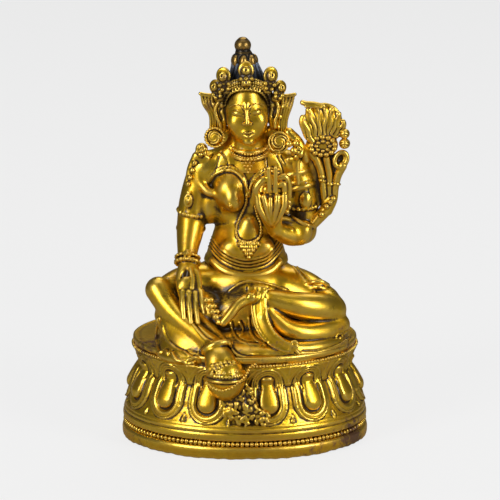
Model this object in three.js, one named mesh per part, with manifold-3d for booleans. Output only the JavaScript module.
// A gilt copper alloy figure of a seated goddess on an oval lotus base, cast as one piece.
// She sits at ease: her right foot comes down on a small lotus that springs from the front
// of the base, her left leg is folded, her right hand hangs open over her shin and her left
// hand is raised in front of her breast, holding a lotus that flowers beside her shoulder.
// Millimetres, +Z up, the front faces -Y, and the origin is the middle of the flat underside.

import * as THREE from 'three';
import { mergeVertices } from 'three/addons/utils/BufferGeometryUtils.js';
import Module from 'manifold-3d';

const wasm = await Module();
wasm.setup();

// Driving dimensions of the base. The insets are taken from the foot's half width.
const BASE_WIDTH = 107.8;
const BASE_DEPTH = 86;
const BASE_HEIGHT = 45;
const TOP_DEPTH = 84.4;
const FOOT_BAND_HEIGHT = 5.6;
const FOOT_BEAD_SIZE = 2;
const PLAIN_BAND_TOP = 15.5;
const WAIST_HEIGHT = 33;
const WAIST_INSET = 7.2;
const RIM_INSET = 4.3;
const RIM_BEAD_SIZE = 1.5;
const TOP_LIP = 1.6;
const PETAL_COUNT = 14;
const PETAL_WIDTH = 17.2;
const STEM_GAP = 27;
const STEM_PLACE = -3;
const PETAL_TIP_HEIGHT = 17;
const PETAL_RELIEF = 2.4;
const LOBE_WIDTH = 8;
const LOBE_SWELL = 1.2;

// Driving dimensions of the figure. Her forms are worked out for NOMINAL_HEIGHT and scaled.
const FIGURE_HEIGHT = 131.4;
const NOMINAL_HEIGHT = 131.4;
const SEAT_DEPTH = 1;
const FOOT_LOTUS_RADIUS = 8.8;
const FOOT_LOTUS_THICKNESS = 5;
const FOOT_LOTUS_DROP = 10.5;
const FOOT_LOTUS_PLACE = -8;

// Facets round a form, from a slim finger to the trunk, and round the plain parts of the base.
const SLIM = 4;
const SMALL = 5;
const MEDIUM = 7;
const LARGE = 10;
const BASE_FACETS = 36;

const SCALE = FIGURE_HEIGHT / NOMINAL_HEIGHT;
const SEAT = BASE_HEIGHT - SEAT_DEPTH;
const X_AXIS = new THREE.Vector3(1, 0, 0);
const Y_AXIS = new THREE.Vector3(0, 1, 0);
const Z_AXIS = new THREE.Vector3(0, 0, 1);
const { degToRad: rad, lerp, clamp } = THREE.MathUtils;

// A station of a form: a place in the figure, heights from the seat, then half widths.
function at(x, y, z, ...girths) {
  return [x * SCALE, y * SCALE, SEAT + z * SCALE, ...girths.map((g) => g * SCALE)];
}

// A station on or near the right foot, from the middle of the top of its lotus.
function byFoot(x, y, z, ...girths) {
  return [
    (FOOT_LOTUS_PLACE + x) * SCALE, -BASE_DEPTH / 2 + y * SCALE,
    BASE_HEIGHT - FOOT_LOTUS_DROP + FOOT_LOTUS_THICKNESS + z * SCALE, ...girths.map((g) => g * SCALE),
  ];
}

// Turns a closed three.js geometry into a solid for joining.
function solid(geometry) {
  const bare = geometry.clone();
  bare.deleteAttribute('normal');
  bare.deleteAttribute('uv');
  const merged = mergeVertices(bare, 1e-4);
  const place = merged.attributes.position.array;
  const index = merged.index.array;
  const faces = [];
  let volume = 0;
  for (let i = 0; i < index.length; i += 3) {
    const [a, b, c] = [index[i], index[i + 1], index[i + 2]];
    if (a === b || b === c || c === a) continue;
    faces.push(a, b, c);
    const [p, q, r] = [a, b, c].map((n) => new THREE.Vector3().fromArray(place, 3 * n));
    volume += p.dot(q.cross(r));
  }
  if (volume < 0) faces.reverse();
  return new wasm.Manifold(new wasm.Mesh({
    numProp: 3,
    vertProperties: Float32Array.from(place),
    triVerts: Uint32Array.from(faces),
  }));
}

// Joins closed geometries into one solid.
function join(geometries) {
  return geometries.map(solid).reduce((whole, piece) => whole.add(piece));
}

// A closed round-ended form bent along its stations, [x, y, z, half width, half depth].
// wide is the direction that its half width is measured in.
function limb(stations, sides = MEDIUM, steps = stations.length - 1, wide = X_AXIS) {
  const spine = new THREE.CatmullRomCurve3(stations.map((s) => new THREE.Vector3(s[0], s[1], s[2])));
  const girth = new THREE.CatmullRomCurve3(stations.map((s) => new THREE.Vector3(s[3], s[4] ?? s[3], 0)));
  const form = new THREE.CapsuleGeometry(1, 1, sides > SLIM ? 2 : 1, sides, steps);
  const places = form.attributes.position;
  for (let i = 0; i < places.count; i += 1) {
    const t = clamp(places.getY(i) + 0.5, 0, 1);
    const over = places.getY(i) + 0.5 - t;
    const along = spine.getTangent(t).normalize();
    const deep = new THREE.Vector3().crossVectors(along, wide).normalize();
    const across = new THREE.Vector3().crossVectors(deep, along);
    const half = girth.getPoint(t);
    const point = spine.getPoint(t)
      .addScaledVector(along, over * Math.min(half.x, half.y))
      .addScaledVector(across, places.getX(i) * half.x)
      .addScaledVector(deep, places.getZ(i) * half.y);
    places.setXYZ(i, point.x, point.y, point.z);
  }
  return form;
}

// Turns a form about X, Y and Z in degrees and sets it at a place.
function set(form, [x, y, z], turn) {
  return form.rotateX(rad(turn[0])).rotateY(rad(turn[1])).rotateZ(rad(turn[2])).translate(x, y, z);
}

// An ellipsoid at a place.
function ball(place, radii, sides = SMALL, rings = 3, turn = [0, 0, 0]) {
  const form = new THREE.SphereGeometry(1, sides, rings).rotateX(Math.PI / 2);
  return set(form.scale(...radii.map((r) => r * SCALE)), place, turn);
}

// A closed ring of round wire round a place.
function ring(place, [halfWidth, halfDepth], wire, turn = [0, 0, 0], sides = LARGE) {
  const form = new THREE.TorusGeometry(1, wire / halfWidth, SLIM, sides);
  return set(form.scale(halfWidth * SCALE, halfDepth * SCALE, halfWidth * SCALE), place, turn);
}

// A turned form from a profile of [radius, height], standing on a place.
function turned(place, profile, sides, turn = [0, 0, 0]) {
  const points = profile.map(([r, h]) => new THREE.Vector2(r * SCALE, h * SCALE));
  return set(new THREE.LatheGeometry(points, sides).rotateX(Math.PI / 2), place, turn);
}

// A thick pointed leaf that stands on its foot.
function leaf(place, halfWidth, height, thickness, turn = [0, 0, 0], sides = SMALL) {
  const form = new THREE.SphereGeometry(1, sides, 4).rotateX(Math.PI / 2);
  const places = form.attributes.position;
  for (let i = 0; i < places.count; i += 1) {
    const rise = (places.getZ(i) + 1) / 2;
    const fullness = 1.15 - 0.5 * rise * rise;
    const point = new THREE.Vector3(
      places.getX(i) * halfWidth * fullness, places.getY(i) * thickness, rise * height,
    ).multiplyScalar(SCALE);
    places.setXYZ(i, point.x, point.y, point.z);
  }
  return set(form, place, turn);
}

// How deep the base is for its width: its top is a rounder oval than its foot.
function depthShare(height) {
  const topWidth = BASE_WIDTH - 2 * RIM_INSET;
  return lerp(BASE_DEPTH / BASE_WIDTH, TOP_DEPTH / topWidth, height / BASE_HEIGHT);
}

// The place on the base's oval of a given half width, at an angle from the middle of the front.
function onOval(halfWidth, angle, height) {
  return new THREE.Vector3(
    halfWidth * Math.sin(angle), -halfWidth * depthShare(height) * Math.cos(angle), height,
  );
}

// A turned oval band of the base from its profile of [half width, height].
function band(profile) {
  const points = profile.map(([r, h]) => new THREE.Vector2(r, h));
  const form = new THREE.LatheGeometry(points, BASE_FACETS).rotateX(Math.PI / 2);
  const places = form.attributes.position;
  for (let i = 0; i < places.count; i += 1) places.setY(i, places.getY(i) * depthShare(places.getZ(i)));
  return form;
}

// The foot of the base, with a bead course and two plain bands.
function footBands() {
  const half = BASE_WIDTH / 2;
  const beads = FOOT_BAND_HEIGHT + FOOT_BEAD_SIZE;
  return band([
    [0, 0], [half - 0.9, 0], [half, FOOT_BAND_HEIGHT - 0.3], [half - 0.9, FOOT_BAND_HEIGHT + 0.3],
    [half - 0.3, beads + 1], [half - 1.9, (beads + PLAIN_BAND_TOP) / 2 + 0.6], [half - 1.5, PLAIN_BAND_TOP],
    [0, PETAL_TIP_HEIGHT],
  ]);
}

// The angles of the petals, even along the oval but for the wider gap that the stem comes down.
function petalAngles() {
  const waist = BASE_WIDTH / 2 - WAIST_INSET / 2;
  const share = depthShare(WAIST_HEIGHT);
  const steps = 720;
  const along = [0];
  for (let i = 1; i <= steps; i += 1) {
    const angle = (2 * Math.PI * (i - 0.5)) / steps;
    const pace = waist * new THREE.Vector2(Math.cos(angle), share * Math.sin(angle)).length();
    along.push(along[i - 1] + (2 * Math.PI * pace) / steps);
  }
  const girth = along[steps];
  const pitch = (girth - STEM_GAP) / (PETAL_COUNT - 1);
  return Array.from({ length: PETAL_COUNT }, (_, k) => {
    const goal = STEM_PLACE + STEM_GAP / 2 + k * pitch;
    const turn = Math.floor(goal / girth);
    return 2 * Math.PI * (turn + along.findIndex((length) => length >= goal - turn * girth) / steps);
  });
}

// The carved courses of the base with its rim and flat top: lower petals hang from the waist and
// upper ones stand on it, and a lobe swells in the lower one and runs up both.
function petalCourses() {
  const rimFoot = BASE_HEIGHT - TOP_LIP - RIM_BEAD_SIZE;
  const onLower = (share) => lerp(PETAL_TIP_HEIGHT, WAIST_HEIGHT, share);
  const courses = [
    { height: PETAL_TIP_HEIGHT - 1.6, inset: 3.6, reach: 0, lobe: 0 },
    { height: PETAL_TIP_HEIGHT + 0.8, inset: 1.4, reach: 0.55, lobe: 0.2 },
    { height: onLower(0.4), inset: 2.2, reach: 1, lobe: 1 },
    { height: WAIST_HEIGHT, inset: WAIST_INSET, reach: 0.8, lobe: 0.5 },
    { height: lerp(WAIST_HEIGHT, rimFoot, 0.5), inset: RIM_INSET + 1.2, reach: 1, lobe: 0.6 },
    { height: rimFoot - 0.5, inset: RIM_INSET + 1.2, reach: 0.55, lobe: 0 },
    { height: rimFoot + RIM_BEAD_SIZE / 2, inset: RIM_INSET - 0.2, reach: 2, lobe: 0 },
    { height: BASE_HEIGHT, inset: RIM_INSET + 0.5, reach: 2, lobe: 0 },
  ];
  const places = [-PETAL_WIDTH / 2, -LOBE_WIDTH / 2, LOBE_WIDTH / 2, PETAL_WIDTH / 2];
  const angles = petalAngles();
  const columns = angles.flatMap((angle, k) => {
    const next = angles[(k + 1) % angles.length] + (k + 1 === angles.length ? 2 * Math.PI : 0);
    const slope = new THREE.Vector2(Math.cos(angle), depthShare(0) * Math.sin(angle)).length();
    const pace = slope * (BASE_WIDTH / 2);
    const petal = places.map((place) => ({
      angle: angle + place / pace,
      share: Math.abs(place) / (PETAL_WIDTH / 2),
      lobe: Math.abs(place) < LOBE_WIDTH,
    }));
    return [...petal, { angle: (angle + next) / 2, share: 1.6, lobe: false }];
  });
  const profile = [
    new THREE.Vector2(0, courses[0].height), ...courses.map((c) => new THREE.Vector2(1, c.height)),
    new THREE.Vector2(0, BASE_HEIGHT),
  ];
  const form = new THREE.LatheGeometry(profile, columns.length).rotateX(Math.PI / 2);
  const points = form.attributes.position;
  for (let i = 0; i < points.count; i += 1) {
    const course = courses[(i % profile.length) - 1];
    const column = columns[Math.floor(i / profile.length) % columns.length];
    if (!course) continue;
    const cover = clamp((course.reach - column.share) / 0.4 + 0.8, 0, 1);
    const swell = (cover - 1) * PETAL_RELIEF + (column.lobe ? course.lobe * LOBE_SWELL : 0);
    const point = onOval(BASE_WIDTH / 2 - course.inset + swell, column.angle, course.height);
    points.setXYZ(i, point.x, point.y, point.z);
  }
  return form;
}

// Her trunk from the seat to the neck, with breasts and the slope of the shoulders.
function trunk() {
  return [
    limb([
      at(0.5, 8, 2, 22, 18), at(0.5, 8, 14, 22.4, 17.4), at(0.5, 7, 26, 19.4, 14.5), at(0.6, 6, 34, 18, 13.4),
      at(0.6, 5, 42, 15.6, 11.8), at(0.7, 5.2, 49, 13.4, 9.8), at(0.8, 5.5, 57, 17.4, 10.4),
      at(1.5, 5.5, 66, 18.8, 10.6), at(2, 5.5, 73, 19.8, 9), at(2, 5.5, 79, 16, 7.6),
      at(1.8, 4.5, 83.6, 9.6, 7.2), at(1.6, 3.5, 88, 8.6, 7.4),
    ], LARGE),
    ball(at(-6.2, -4.2, 61.7), [6.8, 6.4, 6.8], 8, 5),
    ball(at(9.6, -4, 61.7), [6.6, 6.2, 6.6], 8, 5),
  ];
}

// The belt slung under the belly, the collar, and the two pendants.
function jewellery() {
  return [
    ring(at(0.6, 3.8, 32), [18.8, 15.6], 2.2, [16, 0, 0], LARGE),
    ring(at(1.6, 2.6, 83.4), [9.8, 9.4], 1.3, [14, -3, 0], MEDIUM),
    leaf(at(1.6, -5.4, 82.4), 3.8, -7.4, 1.6, [-12, 0, 0], SLIM),
    leaf(at(1, -7, 39.6), 4.6, -8.6, 1.8, [6, 0, 0], SLIM),
  ];
}

// The right arm hanging straight, with an armlet and a bracelet, and the open hand over the shin.
function rightArm() {
  const fingers = [0, 1, 2, 3].map((n) => {
    const x = -27 + 2.9 * n;
    const drop = [2, 0.4, 0, 1.6][n];
    const tip = at(x + 1.4, -21.4, 12.6 + drop, 1.1);
    return limb([at(x, -17.4, 25, 1.35), at(x + 0.6, -20.2, 19.6, 1.35), tip], SLIM);
  });
  return [
    limb([
      at(-17, 5.5, 73.4, 7), at(-20.4, 5.4, 65.6, 6.4), at(-22.2, 4.6, 57.8, 6.6), at(-22.6, 4.4, 55.6, 7.3),
      at(-22.9, 4, 53.4, 6.7), at(-23.8, 1.2, 47, 6), at(-24.7, -4, 40.4, 4.7), at(-24.8, -6.4, 38.4, 5.3),
      at(-24.8, -8.4, 36.6, 4.1),
    ]),
    limb([
      at(-24.6, -9.6, 35.5, 4, 2.8), at(-23.8, -13.5, 30, 5.4, 3), at(-22.4, -16.8, 24, 5.8, 2.6),
    ], SMALL),
    ...fingers,
    limb([at(-19.4, -12.5, 32, 1.7), at(-18.4, -17.6, 27.4, 1.3)], SLIM),
    leaf(at(-23.2, -1.6, 55), 2.4, 6.4, 1.9, [6, 0, 10], SLIM),
  ];
}

// The left arm bent up, with an armlet and a bracelet, and the raised hand.
function leftArm() {
  const fingers = [
    [at(8.8, -13.6, 63, 1.5), at(9.6, -14.6, 77.4, 1.1)],
    [at(12.2, -13.6, 63, 1.5), at(12.8, -14.4, 77.8, 1.1)],
    [at(15.6, -12.8, 62, 1.5), at(17.4, -15, 72.4, 1.1)],
    [at(5.8, -13.2, 63, 1.5), at(4.4, -18, 63.4, 1.2)],
    [at(7, -12.4, 55, 2), at(4.2, -18.4, 60.6, 1.3)],
  ].map((stations) => limb(stations, SLIM));
  return [
    limb([
      at(21.5, 5.5, 73.4, 7.2), at(24.8, 5.4, 65, 7), at(25.4, 4.8, 57.8, 7.2), at(25.6, 4.7, 55.6, 7.9),
      at(25.6, 4.4, 53.4, 7), at(25.4, 2.6, 47.6, 5.4),
    ]),
    limb([
      at(25.4, 1.6, 46.6, 5.6), at(20.6, -4.4, 46.2, 5.1), at(16.8, -8, 47.4, 4.1),
      at(15.4, -9.2, 48.4, 4.8), at(14, -10.2, 49.6, 3.6),
    ], MEDIUM, 4, Z_AXIS),
    limb([at(13, -10.6, 50.6, 3, 2.6), at(11.4, -12.2, 56, 5.6, 2.8), at(10.8, -13, 62, 6.6, 2.5)], SMALL),
    ...fingers,
    leaf(at(25.6, -1.8, 55), 2.6, 6.2, 2, [6, 0, -8], SLIM),
  ];
}

// The thighs and the lap, the folded left shin and its foot.
function legs() {
  return [
    limb([
      at(13, 6, 20.6, 12.5, 11.5), at(25, -2, 19.8, 10.4, 9.6), at(35.8, -9.6, 16.6, 7.8),
    ], MEDIUM, 3, Y_AXIS),
    limb([
      at(-13, 6, 20, 12.5, 12), at(-27, -1, 21.6, 9.6, 9.6), at(-36.4, -10, 22.6, 6.2),
    ], MEDIUM, 3, Y_AXIS),
    limb([at(36.6, -12, 15.6, 7), at(24, -20, 16.4, 6.8), at(11, -23.5, 21, 4.6)], MEDIUM, 3, Z_AXIS),
    limb([
      at(12, -23, 21.5, 3.7), at(4, -25.4, 22.4, 4), at(-4, -29, 18, 3.5), at(-10.6, -33.4, 12.8, 2.2),
    ], SMALL, 3, Z_AXIS),
    ball(at(0, -10, 13), [24, 17, 16.4], 9, 5),
  ];
}

// The right shin coming down to the small lotus with an anklet, and the foot resting on it.
function rightLegAndFoot() {
  return [
    limb([
      at(-36.8, -12, 22.4, 6.4), at(-26, -22, 15.5, 6.8), byFoot(-8.4, 6.6, 12.6, 4.6),
      byFoot(-5.4, 5.2, 10.4, 5.8), byFoot(-3.4, 3.6, 8, 4.6),
    ], MEDIUM, 4, Z_AXIS),
    limb([
      byFoot(-4, 4.4, 8.6, 4.8, 4.6), byFoot(-1.6, 0.6, 5.4, 6, 4.2), byFoot(0, -5.4, 1.6, 7, 2.4),
    ], MEDIUM),
  ];
}

// The small lotus under the right foot, and its stem with leaves down the front of the base.
function footLotus() {
  const r = FOOT_LOTUS_RADIUS;
  const t = FOOT_LOTUS_THICKNESS;
  const profile = [[0, -t], [r * 0.5, -t * 0.6], [r * 0.9, 0.1 * t], [r, t * 0.45], [r * 0.9, t], [0, t]];
  const under = (x, y, z, ...girths) => byFoot(x, y, z - t, ...girths);
  const leaves = [[8, -0.4, -5.6, 3.8, 30], [3.6, -1, -10, 3.4, -24], [13.6, 0.2, -15.2, 3.2, 46]];
  return [
    turned(under(0, 0, 0), profile, LARGE),
    limb([under(1, 2, -2, 2), under(6, -0.4, -6.6, 1.8), under(17, 1.4, -14, 2)], SMALL, 2, Z_AXIS),
    ...leaves.map(([x, y, z, size, lean]) => ball(under(x, y, z), [size, 1.9, 2.2], SMALL, 3, [0, lean, 0])),
  ];
}

// The skirt: its rolls and folds round the left shin, the fall from the right shin, and its hem.
function skirt() {
  const hem = [0, 1].map((n) => ball(
    onOval(BASE_WIDTH / 2 - RIM_INSET - 1.2, rad(-22 - 12 * n), SEAT - 2).toArray(), [5.4, 2.6, 3.4],
  ));
  return [
    limb([at(37, -14, 9.6, 5.4), at(23, -25, 8, 6.4), at(9, -27.4, 12, 4)], MEDIUM, 3, Z_AXIS),
    limb([at(39, -12, 1.6, 3), at(26, -28, 1.4, 3.4), at(8, -34, 1.6, 3.2)], SMALL, 3, Z_AXIS),
    limb([
      at(7, -25.6, 18, 2.6), at(4, -31, 9, 3), at(10, -34.4, 3.4, 3), at(24, -32, 3, 2.4),
    ], SMALL, 3, Z_AXIS),
    ball(at(-25, -15, 4), [14, 14, 8], 8, 4),
    limb([at(-33, -16, 13, 4.6, 9), at(-22, -24, 7, 4.8, 6.6), at(-12, -31, 3, 4, 4)], MEDIUM, 2, Z_AXIS),
    limb([at(26.4, -3, 28, 3, 1.6), at(30, -10, 24.4, 3.6, 2.2), at(31.6, -15.6, 19, 2.6, 1.5)], SMALL),
    ...hem,
  ];
}

// The rosettes and locks on the shoulders, and the hair and scarf down the back.
function shoulders() {
  return [
    ball(at(-17.4, 1.6, 82.4), [4.6, 3.8, 4.6], SMALL, 4),
    ball(at(22.6, 2, 83.6), [5, 3.8, 6.2], SMALL, 4),
    limb([at(-18.8, -0.8, 79, 3.4, 2.4), at(-20, -1.4, 65, 2.2, 1.8)], SMALL),
    limb([at(22.6, -0.8, 79, 3.4, 2.4), at(24, -1.4, 66, 2.2, 1.8)], SMALL),
    ball(at(1.8, 13, 72), [17, 4.6, 9], 7, 3),
    limb([at(2, 12, 93, 8, 3.6), at(2, 15.6, 82, 7.4, 3.6), at(1.8, 17.4, 70, 4.6, 2.2)], SMALL),
  ];
}

// The head: a calm full oval with lowered lids, long ears and disc earrings.
function head() {
  const middle = 1.3;
  const pair = (x, y, z, radii, rings, turn = 0) => [1, -1].map((side) => ball(
    at(middle + side * x, y, z), radii, SMALL, rings, [0, 0, side * turn],
  ));
  const disc = [[0, -4.6], [4.2, -4], [4.7, 1.4], [0, 2.8]];
  return [
    ball(at(middle, 2, 100.6), [8.8, 9.8, 11.4], LARGE, 6),
    ball(at(middle, -1.6, 94), [7.8, 6.6, 7.2], 8, 5),
    ball(at(middle, -6.8, 89.4), [2.6, 2, 1.9]),
    limb([at(middle, -7.6, 102.6, 0.9, 0.9), at(middle, -9.6, 96.8, 1.6, 1.3)], SLIM, 1),
    ball(at(middle, -7.9, 92.6), [2.6, 1.3, 1.2], SLIM, 3),
    ...pair(4, -6.2, 100.4, [2.8, 1.9, 1.6], 3, 28),
    ...pair(10.4, 2.6, 97, [2.2, 2.6, 7.4], 4),
    turned(at(-12.4, 0, 90), disc, 8, [90, 0, -12]),
    turned(at(15, 0, 88), disc, 8, [90, 0, 12]),
    ball(at(middle, 6.2, 94), [14.6, 4.8, 13.6], 8, 4),
  ];
}

// The dressed hair in a tall cone with a lobed collar, and the jewel on top of it.
function hair() {
  const profile = [
    [0, 0, 0], [8.8, 0, 0], [7.8, 4.5, 0], [6.2, 9.4, 0], [5, 11.6, 0],
    [5.2, 12.4, 0.8], [5.2, 15, 0.8], [3.7, 16.2, 0], [3.9, 17.8, 0], [2.9, 18.8, 0],
    [3.8, 20.4, 0], [3.7, 22.2, 0], [2.4, 23.9, 0], [0, 24.5, 0],
  ];
  const points = profile.map(([r, h]) => new THREE.Vector2(r, h));
  const cone = new THREE.LatheGeometry(points, LARGE).rotateX(Math.PI / 2);
  const places = cone.attributes.position;
  for (let i = 0; i < places.count; i += 1) {
    const [radius, , lobe] = profile[i % profile.length];
    const side = Math.floor(i / profile.length) % 2 === 0 ? lobe : -lobe;
    const share = radius > 0 ? (1 + side / radius) * SCALE : SCALE;
    places.setXYZ(i, places.getX(i) * share, places.getY(i) * share, places.getZ(i) * SCALE);
  }
  return [ball(at(1, 3.2, 105), [10.2, 10.2, 9.6], LARGE, 5), set(cone, at(0.2, 3, 107), [0, -3, 0])];
}

// The tiara: a band, five leaves, and the ribbons that fan out behind the ears.
function crown() {
  const leaves = [
    [0.4, -7.4, 109, 3.6, 12, 0], [-8, -4.6, 108.4, 3.4, 11.4, -35], [9.8, -4.6, 108, 3.4, 11.4, 35],
  ];
  const buds = [[-11.4, 1.6, 105, -14], [14, 1.6, 104.6, 14]];
  const fan = (x, lean) => limb([
    at(x, 4, 90, 2.4, 1.5), at(x + lean * 0.4, 4.6, 98, 2.9, 1.6), at(x + lean * 1.9, 4.6, 106.4, 5.2, 1.4),
  ], SMALL);
  return [
    ring(at(1, 2.4, 108.4), [10.2, 10.5], 1.6, [-13, -3, 0], 8),
    ...leaves.map(([x, y, z, half, height, turn]) => leaf(
      at(x, y, z), half, height, 1.8, [-6, turn * 0.5, turn],
    )),
    ...buds.map(([x, y, z, lean]) => leaf(at(x, y, z), 3.2, 9, 2.4, [0, lean, lean * 4], SLIM)),
    fan(-12.4, -1.8),
    fan(15, 1.9),
  ];
}

// The lotus beside the left shoulder: stems up the arm, the open flower and its tall petals.
function shoulderLotus() {
  const stems = [
    [
      at(28, 1, 46, 1.7), at(34, 3, 53.6, 1.7), at(38.8, 3, 63, 1.7),
      at(41.2, 3, 74, 2.4), at(41.6, 2.6, 81, 4),
    ],
    [at(33.6, 3, 55, 2.4), at(33.4, 2.2, 79, 3.4)],
  ];
  const berries = [0, 1, 2, 3, 4, 5].map((n) => ball(
    at(34.6 + 5.6 * Math.cos(rad(60 * n)), 0, 84 + 5 * Math.sin(rad(60 * n))), [2.4, 2.4, 2.3],
  ));
  const curls = [[42.2, 2.6, 91, 3.2, 3.6], [27.6, 3, 86, 3.2, 6]];
  return [
    ...stems.map((stations) => limb(stations, SLIM, stations.length, Y_AXIS)),
    ball(at(34.6, 1.6, 84), [6.4, 4.4, 5.6], 7, 4),
    ...curls.map(([x, y, z, halfWidth, half]) => ball(at(x, y, z), [halfWidth, 2.6, half])),
    ...berries,
    tallPetals(),
  ];
}

// The lotus's tall petals, one fan of flutes that leans towards the head.
function tallPetals() {
  const middle = 3;
  const flutePitch = 3.6;
  const form = limb([
    at(34.4, middle, 85, 7, 3), at(34.8, middle, 92, 9, 3.6),
    at(34, middle, 98, 9.4, 3.4), at(32.4, middle, 100.6, 8, 2),
  ], 16);
  const places = form.attributes.position;
  for (let i = 0; i < places.count; i += 1) {
    const flute = 0.7 + 0.6 * Math.abs(Math.sin((places.getX(i) * Math.PI) / (flutePitch * SCALE)));
    places.setY(i, middle * SCALE + (places.getY(i) - middle * SCALE) * flute);
  }
  return form;
}

// Joins everything that was cast together.
function castFigure() {
  return join([
    footBands(), petalCourses(), ...footLotus(),
    ...trunk(), ...legs(), ...rightLegAndFoot(), ...skirt(), ...rightArm(), ...leftArm(),
    ...shoulders(), ...jewellery(), ...head(), ...hair(), ...crown(), ...shoulderLotus(),
  ]);
}

// Turns a joined solid back into a geometry.
function geometryOf(whole) {
  const mesh = whole.getMesh();
  const geometry = new THREE.BufferGeometry();
  geometry.setAttribute('position', new THREE.BufferAttribute(Float32Array.from(mesh.vertProperties), 3));
  geometry.setIndex(new THREE.BufferAttribute(Uint32Array.from(mesh.triVerts), 1));
  geometry.computeVertexNormals();
  return geometry;
}

const gilding = new THREE.MeshStandardMaterial({ color: 0xc9981f, roughness: 0.3, metalness: 1 });
const figure = new THREE.Mesh(geometryOf(castFigure()), gilding);
figure.name = 'tara_figure_on_lotus_base';

const part = new THREE.Group();
part.add(figure);

export default part;
